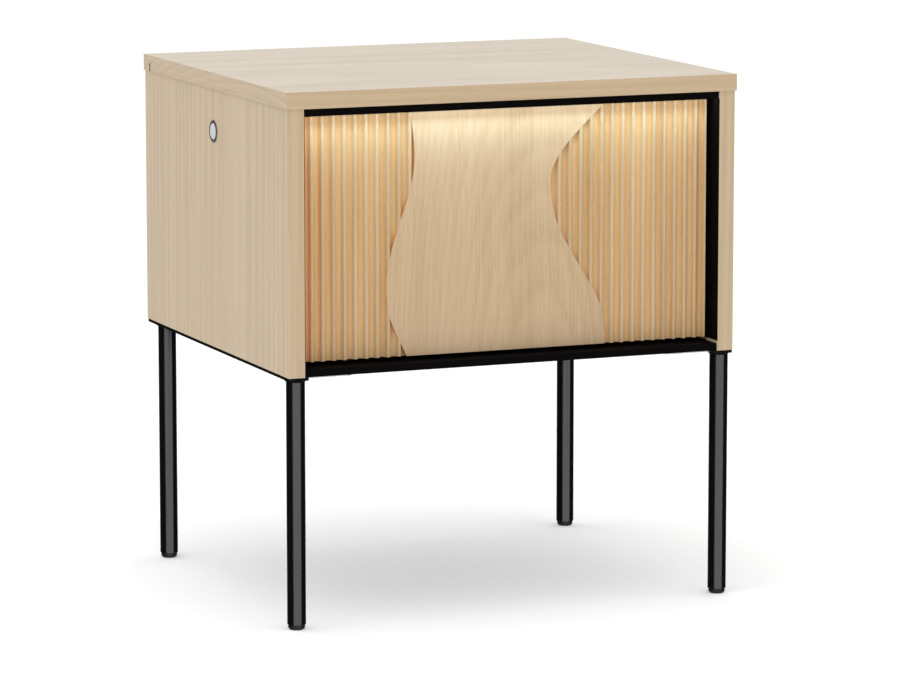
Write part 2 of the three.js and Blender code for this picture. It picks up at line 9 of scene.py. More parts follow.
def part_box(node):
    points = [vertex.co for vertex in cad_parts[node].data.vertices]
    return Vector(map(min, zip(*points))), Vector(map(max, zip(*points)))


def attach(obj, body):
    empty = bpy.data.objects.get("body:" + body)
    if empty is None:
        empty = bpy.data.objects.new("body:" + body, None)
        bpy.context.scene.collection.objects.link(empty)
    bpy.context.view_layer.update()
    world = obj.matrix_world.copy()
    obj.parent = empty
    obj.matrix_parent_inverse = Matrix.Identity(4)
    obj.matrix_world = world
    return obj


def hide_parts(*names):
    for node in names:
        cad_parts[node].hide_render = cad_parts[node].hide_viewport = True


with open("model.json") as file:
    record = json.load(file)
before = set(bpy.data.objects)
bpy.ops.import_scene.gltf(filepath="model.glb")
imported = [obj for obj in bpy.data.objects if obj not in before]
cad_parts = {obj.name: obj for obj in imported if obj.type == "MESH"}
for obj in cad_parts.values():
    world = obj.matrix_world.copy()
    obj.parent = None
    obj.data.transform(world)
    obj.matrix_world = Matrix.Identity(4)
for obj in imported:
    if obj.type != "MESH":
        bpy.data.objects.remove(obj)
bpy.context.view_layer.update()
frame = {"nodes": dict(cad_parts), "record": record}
NODES = frame["nodes"]
MM = 0.001
SIDES = {"left": -1, "right": 1}
ROWS = ("front", "back")

# ---- Shader nodes --------------------------------------------------------------------------


class Nodes:
    """Short ways to add shader nodes to a tree. A socket given as an input is linked."""

    def __init__(self, tree):
        self.tree = tree

    def feed(self, socket, value):
        if isinstance(value, bpy.types.NodeSocket):
            self.tree.links.new(value, socket)
        else:
            socket.default_value = value

    def add(self, kind, inputs=(), out=0, **settings):
        node = self.tree.nodes.new("ShaderNode" + kind)
        for key, value in settings.items():
            setattr(node, key, value)
        for key, value in dict(inputs).items():
            self.feed(node.inputs[key], value)
        return node.outputs[out]

    def math(self, operation, a, b=0.0, clamp=False):
        return self.add("Math", {0: a, 1: b}, operation=operation, use_clamp=clamp)

    def scaled(self, value, factor):
        return self.math("MULTIPLY", value, factor)

    def split(self, vector):
        """The vector's three parts."""
        node = self.tree.nodes.new("ShaderNodeSeparateXYZ")
        self.tree.links.new(vector, node.inputs[0])
        return node.outputs

    def length(self, a, b):
        """How long a flat vector is whose parts are a and b."""
        return self.math("SQRT", self.math("ADD", self.math("MULTIPLY", a, a), self.math("MULTIPLY", b, b)))


# ---- Camera and light ----------------------------------------------------------------------

CAMERA_PLACE = (-1.7400, -4.2711, 0.9581)
CAMERA_DOWN = 0.1554
CAMERA_YAW = -0.3906
LENS_MM = 188.4
# Tall bright panels round the room: (heading from -Y towards +X, half width, strength), in degrees.
PANELS = ((-8, 48, 2.15), (157.6, 30, 1.0))
# How bright the room is between the panels.
BETWEEN_PANELS = 0.02
FLOOR_HALF = 14.0
FLOOR_GLOW = 0.225
LAMP_WATTS = 0.18
LAMP_SPREAD = math.radians(115)
CORNER_WATTS = {"left": 0.011, "right": 0.004}
KEY_WATTS = 20.0
KEY_SIZE = 2.0


def add_camera():
    data = bpy.data.cameras.new("camera")
    data.lens = LENS_MM
    data.sensor_width = 36
    camera = bpy.data.objects.new("camera", data)
    camera.location = CAMERA_PLACE
    camera.rotation_euler = (math.pi / 2 - CAMERA_DOWN, 0, CAMERA_YAW)
    bpy.context.scene.collection.objects.link(camera)
    bpy.context.scene.camera = camera


def area_light(name, place, target, size, watts, colour=(1, 1, 1), spread=math.pi):
    data = bpy.data.lights.new(name, "AREA")
    data.shape = "RECTANGLE"
    data.size, data.size_y = size
    data.energy = watts
    data.color = colour
    data.spread = spread
    light = bpy.data.objects.new(name, data)
    light.location = place
    light.rotation_euler = (Vector(target) - Vector(place)).to_track_quat("-Z", "Y").to_euler()
    bpy.context.scene.collection.objects.link(light)
    return light


def add_studio():
    """A white room, in which glossy faces see tall bright panels and little else."""
    world = bpy.data.worlds.new("studio")
    world.use_nodes = True
    bpy.context.scene.world = world
    bpy.context.scene.view_settings.view_transform = "Standard"
    nodes = Nodes(world.node_tree)
    east, north = nodes.split(nodes.add("TexCoord", out="Generated"))[:2]
    level = nodes.length(east, north)
    panels = BETWEEN_PANELS
    for heading, half, strength in PANELS:
        turn = math.radians(heading)
        south = nodes.scaled(north, -math.cos(turn))
        toward = nodes.math("ADD", nodes.scaled(east, math.sin(turn)), south)
        edge = nodes.scaled(level, math.cos(math.radians(half)))
        inside = nodes.math("GREATER_THAN", toward, edge)
        panels = nodes.math("ADD", nodes.scaled(inside, strength), panels)
    glossy = nodes.add("LightPath", out="Is Glossy Ray")
    strength = nodes.add("Mix", {0: glossy, 2: 1.0, 3: panels}, data_type="FLOAT")
    background = world.node_tree.nodes["Background"]
    background.inputs["Color"].default_value = (1.0, 1.0, 1.0, 1)
    nodes.feed(background.inputs["Strength"], strength)
    area_light("key", (-0.35, -0.3, 2.8), (0, 0, 0.3), (KEY_SIZE, KEY_SIZE), KEY_WATTS)


# ---- Materials -----------------------------------------------------------------------------


class Paint(Nodes):
    """A material and the patterns that it is mixed from."""

    def __init__(self, name):
        self.material = bpy.data.materials.new(name)
        self.material.use_nodes = True
        super().__init__(self.material.node_tree)
        self.shader = self.tree.nodes["Principled BSDF"]

    def place(self):
        """Where a point is on the object, in metres, which moves with the piece."""
        return self.add("TexCoord", out="Object")

    def stretch(self, vector, scale, offset=(0, 0, 0)):
        return self.add("Mapping", {"Vector": vector, "Scale": scale, "Location": offset})

    def noise(self, vector, scale=1.0, detail=2.0, roughness=0.5):
        inputs = {"Vector": vector, "Scale": scale, "Detail": detail, "Roughness": roughness}
        return self.add("TexNoise", inputs)

    def ramp(self, factor, stops):
        """A smooth change between (position, colour) stops."""
        node = self.tree.nodes.new("ShaderNodeValToRGB")
        elements = node.color_ramp.elements
        while len(elements) < len(stops):
            elements.new(0.5)
        for element, (position, colour) in zip(elements, stops):
            element.position = position
            element.color = (*colour, 1)
        self.tree.links.new(factor, node.inputs[0])
        return node.outputs[0]

    def grey(self, factor, low, high, to_low=0.0, to_high=1.0):
        inputs = {"Value": factor, "From Min": low, "From Max": high, "To Min": to_low, "To Max": to_high}
        return self.add("MapRange", inputs)

    def mix(self, factor, a, b, blend="MIX"):
        node = self.tree.nodes.new("ShaderNodeMix")
        node.data_type = "RGBA"
        node.blend_type = blend
        colour_a, colour_b = node.inputs[6], node.inputs[7]
        self.feed(node.inputs[0], factor)
        self.feed(colour_a, a if isinstance(a, bpy.types.NodeSocket) else (*a, 1))
        self.feed(colour_b, b if isinstance(b, bpy.types.NodeSocket) else (*b, 1))
        return node.outputs[2]

    def bump(self, height, strength, distance):
        self.feed(
            self.shader.inputs["Normal"],
            self.add("Bump", {"Height": height, "Strength": strength, "Distance": distance}),
        )

    def finish(self, colour, roughness, metallic=0.0, **sockets):
        colour = colour if isinstance(colour, bpy.types.NodeSocket) else (*colour, 1)
        self.feed(self.shader.inputs["Base Color"], colour)
        self.feed(self.shader.inputs["Roughness"], roughness)
        self.shader.inputs["Metallic"].default_value = metallic
        for name, value in sockets.items():
            self.shader.inputs[name.replace("_", " ")].default_value = value
        return self.material


# How a board is cut from its tree. pith is how far away the heart lies on the two axes across the grain, and
# tilt how much it leans along the grain. rings is their number in a metre, and figure how far they wander.
# shares are the parts of the tone that the rings and the fine streaks take, and pores what the pores take
# away. fine is the streaks' number in a metre, and sway how far the fibres wander. Lengths are in metres.
CUT = {"pith": (0.03, 0.09), "tilt": 0.03, "rings": 190.0, "figure": 0.004, "shares": (0.30, 0.45),
       "pores": 0.2, "fine": 420.0, "sway": 0.0, "seed": 0.0}


def oak_tone(paint, fibres, across, along, cut):
    """The wood's tone, from 0 where it is darkest to 1, its fine streaks and the height of its open grain."""
    offset = (cut["seed"], cut["seed"] * 1.7, cut["seed"] * 0.6)
    wander = paint.noise(paint.stretch(fibres, (6, 6, 1.3), offset), detail=1)
    ripple = paint.noise(paint.stretch(fibres, (90, 90, 14), offset), detail=1)
    shift = paint.scaled(paint.math("SUBTRACT", wander, 0.5), cut["figure"] * 8)
    shift = paint.math("ADD", shift, paint.scaled(ripple, cut["figure"] * 0.3))
    a = paint.math("ADD", across[0], cut["pith"][0])
    b = paint.math("ADD", across[1], paint.math("ADD", paint.scaled(along, cut["tilt"]), cut["pith"][1]))
    radius = paint.math("ADD", paint.length(a, b), shift)
    ring = paint.math("FRACT", paint.scaled(radius, cut["rings"]))
    ring = paint.math("MULTIPLY", paint.grey(ring, 0.0, 0.72), paint.grey(ring, 1.0, 0.78))

    fine = cut["fine"]
    streaks = paint.noise(paint.stretch(fibres, (fine, fine, fine / 90), offset), detail=3, roughness=0.65)
    broad = paint.noise(paint.stretch(fibres, (42, 42, 1.2), offset), detail=2)
    pores = paint.noise(paint.stretch(fibres, (1000, 1000, 75), offset), detail=1)
    pores = paint.math("MULTIPLY", paint.grey(pores, 0.58, 0.68), paint.grey(ring, 0.0, 0.8, 1.0, 0.35))

    ring_share, streak_share = cut["shares"]
    tone = paint.scaled(ring, ring_share)
    tone = paint.math("ADD", tone, paint.scaled(paint.grey(streaks, 0.3, 0.7), streak_share))
    tone = paint.math("ADD", tone, paint.scaled(paint.grey(broad, 0.3, 0.7), 1.0 - ring_share - streak_share))
    tone = paint.math("SUBTRACT", tone, paint.scaled(pores, cut["pores"]), clamp=True)
    return tone, streaks, paint.math("SUBTRACT", streaks, paint.scaled(pores, 0.8))


def tinted(paint, colour, where, tint):
    """The colour, multiplied by the tint as far as where is 1."""
    return paint.mix(where, colour, paint.mix(1.0, colour, tint, "MULTIPLY"))


def oak(name, grain, dark, middle, light, gloss=0.42, bands=(), raw_and_shade=None, hollow=None, **cut):
    """Flat-sawn oak, whose rings lie round a pith that runs nearly along the grain, behind the face.

    grain is the axis that the fibres follow, 0, 1 or 2, and cut says what differs from CUT.
    bands holds (axis, tint) for faces that carry an edge band.
    raw is (reach, tint): faces that look along Y and lie nearer the middle than reach are unfinished wood in
    painted shade, tinted far darker.
    hollow is (start, end, tint): the drawer front's skin takes on the tint between those depths along Y, as
    painted warm bounce light.
    """
    cut = {**CUT, **cut}
    paint = Paint(name)
    place = paint.split(paint.place())
    facing = [paint.math("ABSOLUTE", part) for part in paint.split(paint.add("TexCoord", out="Normal"))]
    along = place[grain]
    across = [place[axis] for axis in range(3) if axis != grain]
    fibres = paint.add("CombineXYZ", {0: across[0], 1: across[1], 2: along})
    bend = paint.math("SUBTRACT", paint.noise(paint.stretch(fibres, (9, 9, 12)), detail=1), 0.5)
    bend = paint.math("ADD", across[0], paint.scaled(bend, cut["sway"]))
    fibres = paint.add("CombineXYZ", {0: bend, 1: across[1], 2: along})
    if grain in dict(bands):
        # An end face carries a band whose fibres run along its longer side.
        band = paint.add("CombineXYZ", {0: along, 1: across[1], 2: across[0]})
        fibres = paint.mix(paint.grey(facing[grain], 0.7, 0.75), fibres, band)

    tone, streaks, height = oak_tone(paint, fibres, across, along, cut)
    colour = paint.ramp(tone, [(0.0, dark), (0.5, middle), (1.0, light)])
    for axis, tint in bands:
        # Painted shade: the walls of the groove for the back take a far darker tint.
        if raw_and_shade and axis == 1:
            inside = paint.math("LESS_THAN", paint.math("ABSOLUTE", place[1]), raw_and_shade[0])
            tint = paint.mix(inside, tint, raw_and_shade[1])
        colour = tinted(paint, colour, paint.grey(facing[axis], 0.7, 0.75), tint)
    # Painted warm bounce light: the deeper the skin lies, the more it takes on the tint.
    if hollow:
        # Only the shaped skin of the drawer front, and not the board's ends, top and back.
        start, end, tint = hollow
        skin = paint.math("LESS_THAN", place[1], FACE + SKIN)
        skin = paint.math("MULTIPLY", skin, paint.math("LESS_THAN", facing[2], 0.5))
        depth = paint.math("MULTIPLY", paint.grey(place[1], start, end), skin)
        colour = tinted(paint, colour, depth, tint)
    paint.bump(height, 0.10, 0.00012)
    roughness = paint.grey(streaks, 0.25, 0.75, gloss + 0.07, gloss - 0.05)
    return paint.finish(colour, roughness, Specular_IOR_Level=0.3)


def plain(name, colour, roughness, metallic=0.0, grit=900.0, depth=0.00004, change=0.12, **sockets):
    """Moulded, coated or laminated: an even colour with fine grit, soft patches and a little wear."""
    paint = Paint(name)
    place = paint.place()
    fine = paint.noise(place, grit, detail=2)
    patches = paint.noise(place, 14.0, detail=3)
    tone = paint.grey(patches, 0.3, 0.7, 1.0 - change, 1.0 + change)
    darker = tuple(c * (1.0 - change) for c in colour)
    lighter = tuple(min(1.0, c * (1.0 + change)) for c in colour)
    paint.bump(fine, 0.35, depth)
    rough = paint.math("MULTIPLY", tone, roughness, clamp=True)
    return paint.finish(paint.mix(paint.grey(fine, 0.3, 0.7), darker, lighter), rough, metallic, **sockets)


def plated(name, colour, roughness, metallic=1.0, grain=(900, 30, 900)):
    """Rolled and plated steel, with fine lines along one way and cloudy spangle."""
    paint = Paint(name)
    place = paint.place()
    lines = paint.noise(paint.stretch(place, grain), detail=3, roughness=0.7)
    clouds = paint.noise(place, 55.0, detail=3)
    darker = tuple(c * 0.72 for c in colour)
    tint = paint.mix(paint.grey(clouds, 0.35, 0.65), darker, colour)
    paint.bump(lines, 0.2, 0.00003)
    return paint.finish(tint, paint.grey(lines, 0.3, 0.7, roughness - 0.08, roughness + 0.12), metallic)


def glowing(name, colour, strength):
    """An opal strip that is lit from behind, a little brighter over each of its lamps."""
    paint = Paint(name)
    across = paint.stretch(paint.place(), (60, 8, 8))
    uneven = paint.noise(across, detail=1)
    brightness = paint.grey(uneven, 0.3, 0.7, strength * 0.9, strength * 1.1)
    paint.feed(paint.shader.inputs["Emission Strength"], brightness)
    paint.shader.inputs["Emission Color"].default_value = (*colour, 1)
    return paint.finish(colour, 0.6)


TOP_OAK = {"dark": (0.449, 0.375, 0.285), "middle": (0.518, 0.444, 0.347), "light": (0.57, 0.495, 0.399)}
SIDE_OAK = {"dark": (0.515, 0.40, 0.272), "middle": (0.592, 0.475, 0.337), "light": (0.66, 0.54, 0.396)}
FLUTE_OAK = {"dark": (0.42, 0.275, 0.145), "middle": (0.515, 0.375, 0.218), "light": (0.60, 0.46, 0.292)}
WAVE_OAK = {"dark": (0.415, 0.28, 0.155), "middle": (0.505, 0.355, 0.212), "light": (0.57, 0.415, 0.265)}
TOP_END_BAND = (1.14, 1.07, 0.96)
TOP_FRONT_BAND = (0.94, 0.82, 0.65)
SIDE_BAND = (0.825, 0.785, 0.70)
# The walls of the groove for the back, which lie this near the middle along Y at most, are unfinished wood in
# painted shade, far darker.
GROOVE_UNFINISHED_AND_SHADE = (0.195, (0.16, 0.11, 0.07))
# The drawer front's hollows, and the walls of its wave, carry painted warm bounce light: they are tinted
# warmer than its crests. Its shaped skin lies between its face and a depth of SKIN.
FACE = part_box("drawer_front")[0].y
SKIN = 5.5 * MM
VALLEY_BOUNCE_LIGHT = (FACE + 0.3 * MM, FACE + 2.6 * MM, (1.15, 1.01, 0.80))
WAVE_WALL_BOUNCE_LIGHT = (FACE + 0.2 * MM, FACE + 1.2 * MM, (1.40, 0.88, 0.45))

MATERIALS = {
    "top": oak("oak_top", 0, **TOP_OAK, pith=(0.10, 0.30), tilt=0.02, rings=110, seed=3.1, gloss=0.40,
               figure=0.003, bands=((0, TOP_END_BAND), (1, TOP_FRONT_BAND)), raw_and_shade=GROOVE_UNFINISHED_AND_SHADE),
    "side": oak("oak_side", 2, **SIDE_OAK, pith=(0.35, 0.05), tilt=0.02, rings=110, seed=7.7, gloss=0.45,
                figure=0.002, bands=((1, SIDE_BAND),)),
    "flutes": oak("oak_flutes", 2, **FLUTE_OAK, pith=(0.05, 0.45), rings=90, seed=1.3, fine=800.0,
                  shares=(0.1, 0.55), figure=0.001, sway=0.004, hollow=VALLEY_BOUNCE_LIGHT),
    "wave": oak("oak_wave", 2, **WAVE_OAK, pith=(-0.035, 0.24), tilt=0.10, rings=190, seed=5.2, fine=620.0,
                shares=(0.16, 0.50), pores=0.22, figure=0.006, sway=0.010, hollow=WAVE_WALL_BOUNCE_LIGHT),
    "black_board": plain("black_board", (0.003, 0.0025, 0.0025), 0.55, grit=1600.0, depth=0.00002,
                         Specular_IOR_Level=0.01),
    "back_sheet": plain("back_sheet", (0.014, 0.0135, 0.013), 0.6, grit=700.0, depth=0.00006, change=0.2,
                        Specular_IOR_Level=0.3),
    "drawer_board": plain("drawer_board", (0.045, 0.045, 0.048), 0.55, grit=1300.0),
    "black_steel": plain("black_steel", (0.003, 0.003, 0.003), 0.2, grit=2600.0, depth=0.00001, change=0.08,
                         Specular_IOR_Level=0.55),
    "black_flat": plain("black_flat", (0.004, 0.004, 0.004), 0.6, grit=2200.0, depth=0.00002,
                        Specular_IOR_Level=0.05),
    "black_aluminium": plain("black_aluminium", (0.003, 0.0025, 0.0022), 0.5, grit=3000.0, depth=0.00002,
                             Specular_IOR_Level=0.01),
    "zinc": plated("zinc", (0.50, 0.51, 0.53), 0.36, 0.6),
    "black_plastic": plain("black_plastic", (0.012, 0.012, 0.013), 0.5, grit=1800.0, Specular_IOR_Level=0.3),
    "grey_plastic": plain("grey_plastic", (0.26, 0.27, 0.28), 0.5, grit=1800.0),
    "white_plastic": plain("white_plastic", (0.63, 0.65, 0.67), 0.32, grit=1800.0, change=0.03),
    "dark_ring": plain("dark_ring", (0.30, 0.275, 0.235), 0.3, 0.85, grit=2200.0, depth=0.00001),
    "opal": glowing("opal", (0.80, 0.92, 1.0), 3.0),
    "circuit": plain("circuit", (0.85, 0.80, 0.70), 0.5, grit=800.0, change=0.04),
    "rubber": plain("rubber", (0.008, 0.008, 0.008), 0.6, grit=1500.0, Specular_IOR_Level=0.25),
}
SLOT_MATERIAL = {"oak": "side", "front_oak": "flutes"}
NODE_MATERIAL = {"top_panel": "top", "back_panel": "back_sheet", "leg_rail_left": "black_flat",
                 "leg_rail_right": "black_flat"}


def paint_frame():
    """Gives each CAD node its finished material."""
    for entry in frame["record"]["subparts"]:
        node, slot = entry["node"], entry["material_slot"]
        name = NODE_MATERIAL.get(node, SLOT_MATERIAL.get(slot, slot))
        for material_slot in NODES[node].material_slots:
            material_slot.link = "OBJECT"
            material_slot.material = MATERIALS[name]


def soften(node, radius):
    """Rounds a CAD node's sharp edges with modifiers, which leave its mesh as packed."""
    flat = NODES[node].modifiers.new("flat_faces", "DECIMATE")
    flat.decimate_type = "DISSOLVE"
    flat.angle_limit = math.radians(1)
    bevel = NODES[node].modifiers.new("soft_edges", "BEVEL")
    bevel.width = radius
    bevel.segments = 2
    bevel.limit_method = "ANGLE"
    bevel.angle_limit = math.radians(40)


# ---- Making pieces -------------------------------------------------------------------------


def outer_x(node, sign):
    """The X of the node's face that looks to the right where sign is 1, and to the left where it is -1."""
    low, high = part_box(node)
    return high.x if sign > 0 else low.x


def inner_x(node, sign):
    """The X of the face on the node's other side, which looks to the middle of the object."""
    return outer_x(node, -sign)


def piece(name, bm, body, material, replaces=(), sharp=30):
    """A finished object from a bmesh, which rides on a body."""
    bmesh.ops.remove_doubles(bm, verts=bm.verts, dist=1e-7)
    bmesh.ops.recalc_face_normals(bm, faces=bm.faces)
    mesh = bpy.data.meshes.new(name)
    bm.to_mesh(mesh)
    bm.free()
    mesh.shade_smooth()
    mesh.set_sharp_from_angle(angle=math.radians(sharp))
    materials = material if isinstance(material, (list, tuple)) else [material]
    for entry in materials:
        mesh.materials.append(MATERIALS[entry])
    made = bpy.data.objects.new(name, mesh)
    bpy.context.scene.collection.objects.link(made)
    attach(made, body)
    if replaces:
        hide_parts(*replaces)
    return made


def rounded(points, radius, steps=3, closed=True):
    """The outline with an arc in place of each of its corners, as far as its edges leave room."""
    corners = [Vector(p) for p in points]
    result = []
    for index, corner in enumerate(corners):
        if not closed and index in (0, len(corners) - 1):
            result.append(tuple(corner))
            continue
        before = corners[index - 1] - corner
        after = corners[(index + 1) % len(corners)] - corner
        bend = before.angle(after)
        if bend > math.radians(172):
            result.append(tuple(corner))
            continue
        reach = min(radius / math.tan(bend / 2), before.length * 0.45, after.length * 0.45)
        start = corner + before.normalized() * reach
        end = corner + after.normalized() * reach
        for step in range(steps + 1):
            t = step / steps
            result.append(tuple(start * (1 - t) ** 2 + corner * 2 * t * (1 - t) + end * t * t))
    return result


def lathe(bm, profile, place=(0, 0, 0), turn=Matrix(), steps=48):
    """Adds a solid of revolution about +Z. The profile, of (radius, height), starts and ends on the axis,
    or it closes on itself."""
    closes = profile[0][0] > 1e-9
    rings = []
    for radius, height in profile:
        if radius < 1e-9:
            rings.append([bm.verts.new((0, 0, height))])
            continue
        angles = [2 * math.pi * step / steps for step in range(steps)]
        rings.append([bm.verts.new((radius * math.cos(t), radius * math.sin(t), height)) for t in angles])
    made = [vert for ring in rings for vert in ring]
    pairs = list(zip(rings, rings[1:]))
    if closes:
        pairs.append((rings[-1], rings[0]))
    for low, high in pairs:
        for step in range(steps):
            after = (step + 1) % steps
            if len(low) == 1 and len(high) == 1:
                continue
            if len(low) == 1:
                bm.faces.new((low[0], high[step], high[after]))
            elif len(high) == 1:
                bm.faces.new((low[step], low[after], high[0]))
            else:
                bm.faces.new((low[step], low[after], high[after], high[step]))
    bmesh.ops.transform(bm, matrix=Matrix.Translation(place) @ turn, verts=made)
    return made


TO_X = Matrix.Rotation(math.pi / 2, 4, "Y")
TO_MINUS_X = Matrix.Rotation(-math.pi / 2, 4, "Y")
TO_Y = Matrix.Rotation(-math.pi / 2, 4, "X")
TO_MINUS_Y = Matrix.Rotation(math.pi / 2, 4, "X")
TO_MINUS_Z = Matrix.Rotation(math.pi, 4, "X")


def loft(bm, outline, low, high, corner):
    """Adds a prism whose outline's points are placed by corner(point, level) at the levels low and high."""
    bottom = [bm.verts.new(corner(point, low)) for point in outline]
    top = [bm.verts.new(corner(point, high)) for point in outline]
    count = len(outline)
    for index in range(count):
        after = (index + 1) % count
        bm.faces.new((bottom[index], bottom[after], top[after], top[index]))
    bm.faces.new(bottom[::-1])
    bm.faces.new(top)


def along_y(point, level):
    return (point[0], level, point[1])


def along_z(point, level):
    return (point[0], point[1], level)


def screw(bm, place, turn, radius=3.6 * MM, height=1.9 * MM):
    """Adds a pan head with a cross recess, standing on its seat and facing +Z before the turn."""
    dome = [(0, 0), (radius, 0), (radius, height * 0.35), (radius * 0.8, height * 0.85)]
    cross, arm, floor = radius * 0.52, radius * 0.13, height * 0.4
    profile = dome + [(cross * 1.25, height), (cross * 1.1, height * 0.97)]
    lathe(bm, profile + [(cross, floor), (0, floor)], place, turn, 24)
    for quarter in range(4):
        wedge = [(arm, arm), (cross * 1.15, arm), (arm, cross * 1.15)]
        low = [bm.verts.new((x, y, floor * 0.6)) for x, y in wedge]
        high = [bm.verts.new((x, y, height * 0.94)) for x, y in wedge]
        for index in range(3):
            after = (index + 1) % 3
            bm.faces.new((low[index], low[after], high[after], high[index]))
        bm.faces.new(low[::-1])
        bm.faces.new(high)
        spin = Matrix.Translation(place) @ turn @ Matrix.Rotation(quarter * math.pi / 2, 4, "Z")
        bmesh.ops.transform(bm, matrix=spin, verts=low + high)


def screws(name, body, spots, turn, slot="zinc", **size):
    bm = bmesh.new()
    for spot in spots:
        screw(bm, spot, turn, **size)
    return piece(name, bm, body, slot, sharp=35)


# ---- Legs ----------------------------------------------------------------------------------


def add_tube(tube, wall=1.5 * MM, bead=1.6 * MM):
    """A leg's open tube and the weld round its top. Returns the leg's centre and radius."""
    low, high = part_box(tube)
    x, y = (low.x + high.x) / 2, (low.y + high.y) / 2
    radius = (high.x - low.x) / 2
    bm = bmesh.new()
    section = [(radius - wall, low.z), (radius, low.z), (radius, high.z), (radius - wall, high.z)]
    lathe(bm, rounded(section, 0.5 * MM), (x, y, 0), steps=64)
    piece(f"{tube}_tube", bm, "cabinet", "black_steel", [tube])

    bm = bmesh.new()
    slope = bead * 0.45
    corner = [(radius, high.z), (radius, high.z - bead), (radius + slope, high.z - slope)]
    lathe(bm, corner + [(radius + bead, high.z)], (x, y, 0), steps=64)
    piece(f"{tube}_weld", bm, "cabinet", "black_flat")
    return (x, y, 0), radius


def add_glide(glide, seat, centre, radius):
    """A leg's push-in glide: a foot below the seat, where the tube ends, and a plug inside the tube."""
    low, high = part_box(glide)
    reach = (high.x - low.x) / 2
    plug = radius - 1.7 * MM
    foot = [(0, 0), (reach - 1.8 * MM, 0), (reach, 1.8 * MM), (reach, seat - 0.3 * MM)]
    profile = rounded(foot, 0.9 * MM, closed=False)
    profile += [(reach - 0.8 * MM, seat), (plug, seat), (plug, high.z), (0, high.z)]
    bm = bmesh.new()
    lathe(bm, profile, centre, steps=64)
    piece(f"{glide}_glide", bm, "cabinet", "rubber", [glide])


def add_legs():
    for row in ROWS:
        for side in SIDES:
            tube = f"leg_{row}_{side}"
            centre, radius = add_tube(tube)
            add_glide(f"foot_{row}_{side}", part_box(tube)[0].z, centre, radius)


def add_underside():
    """Rounded edges and screws on the rails and the corner plates."""
    for side, sign in SIDES.items():
        rail = f"leg_rail_{side}"
        soften(rail, 0.4 * MM)
        line = outer_x(f"side_panel_{side}", sign) - sign * 8 * MM
        spots = [(line, y * MM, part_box(rail)[0].z) for y in (-160, -55, 55, 140)]
        screws(f"rail_screws_{side}", "cabinet", spots, TO_MINUS_Z, "black_steel", radius=4.2 * MM)
        for row in ROWS:
            plate = f"corner_plate_{row}_{side}"
            soften(plate, 0.25 * MM)
            low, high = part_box(plate)
            inner, outer = inner_x(plate, sign), outer_x(plate, sign)
            spots = [(outer + (inner - outer) * share, (low.y + high.y) / 2, low.z) for share in (0.4, 0.8)]
            size = {"radius": 3.9 * MM, "height": 1.8 * MM}
            screws(f"plate_screws_{row}_{side}", "cabinet", spots, TO_MINUS_Z, **size)


# ---- Switch and inlet ----------------------------------------------------------------------


def add_switch():
    low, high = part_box("switch_bezel")
    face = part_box("side_panel_left")[0].x
    centre = (face, (low.y + high.y) / 2, (low.z + high.z) / 2)
    outer = (high.z - low.z) / 2
    proud = face - low.x
    barrel, bore, length = 9.5 * MM, 8.4 * MM, high.x - face
    ring = [(bore, -length), (barrel, -length), (barrel, 0), (outer, 0), (outer, proud * 0.55)]
    ring += [(outer - 0.9 * MM, proud), (bore + 0.5 * MM, proud), (bore, proud - 0.5 * MM)]
    bm = bmesh.new()
    lathe(bm, rounded(ring, 0.25 * MM, 2), centre, TO_MINUS_X, 96)
    piece("switch_ring", bm, "cabinet", "dark_ring", ["switch_bezel"])

    low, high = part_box("switch_button")
    radius = (high.z - low.z) / 2
    proud = face - low.x
    dish = [(0, proud - 0.45 * MM), (radius * 0.45, proud - 0.3 * MM), (radius * 0.75, proud - 0.02 * MM)]
    rim = [(radius * 0.86, proud), (radius, proud - 0.9 * MM), (radius, -2.0 * MM), (2.5 * MM, -2.0 * MM)]
    profile = dish + rounded([dish[-1], *rim], 0.5 * MM, closed=False)[1:]
    profile += [(2.5 * MM, face - high.x), (0, face - high.x)]
    bm = bmesh.new()
    lathe(bm, profile[::-1], centre, TO_MINUS_X, 96)
    piece("switch_cap", bm, "switch_button", "white_plastic", ["switch_button"])


def add_inlet():
    low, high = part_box("power_inlet")
    centre = ((low.x + high.x) / 2, 0, (low.z + high.z) / 2)
    flange, barrel, socket = 5.5 * MM, 4.2 * MM, 3.15 * MM
    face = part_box("back_panel")[1].y
    profile = [(0, low.y), (barrel, low.y), (barrel, face + 0.1 * MM), (flange, face + 0.1 * MM)]
    profile += [(flange, high.y - 0.4 * MM), (flange - 0.5 * MM, high.y), (socket + 0.3 * MM, high.y)]
    profile += [(socket, high.y - 0.3 * MM), (socket, low.y + 2.5 * MM), (0, low.y + 2.5 * MM)]
    bm = bmesh.new()
    lathe(bm, profile, centre, TO_Y, 64)
    piece("inlet_body", bm, "cabinet", "black_plastic", ["power_inlet"])
    bm = bmesh.new()
    pin, start, end = 1 * MM, low.y + 2.4 * MM, high.y - 1 * MM
    profile = [(0, start), (pin, start), (pin, end - 0.4 * MM), (pin - 0.4 * MM, end), (0, end)]
    lathe(bm, profile, centre, TO_Y, 32)
    piece("inlet_pin", bm, "cabinet", "zinc")


# ---- Drawer front --------------------------------------------------------------------------

FLUTES = 38
FLUTE_DEPTH = 4.5 * MM
CREST_RADIUS = 2.1 * MM
CORNER = 0.4 * MM
# The edges of the smooth wave, as (x, height above the front's lower edge) in millimetres.
WAVE_LEFT = [(-102.5, 0), (-119, 36), (-123, 72), (-115, 110), (-99.5, 155), (-94.3, 190), (-98.5, 231)]
WAVE_RIGHT = [(102, 0), (96.3, 40), (74, 79), (52, 119), (44.8, 158), (53, 183), (74, 207), (100, 231)]


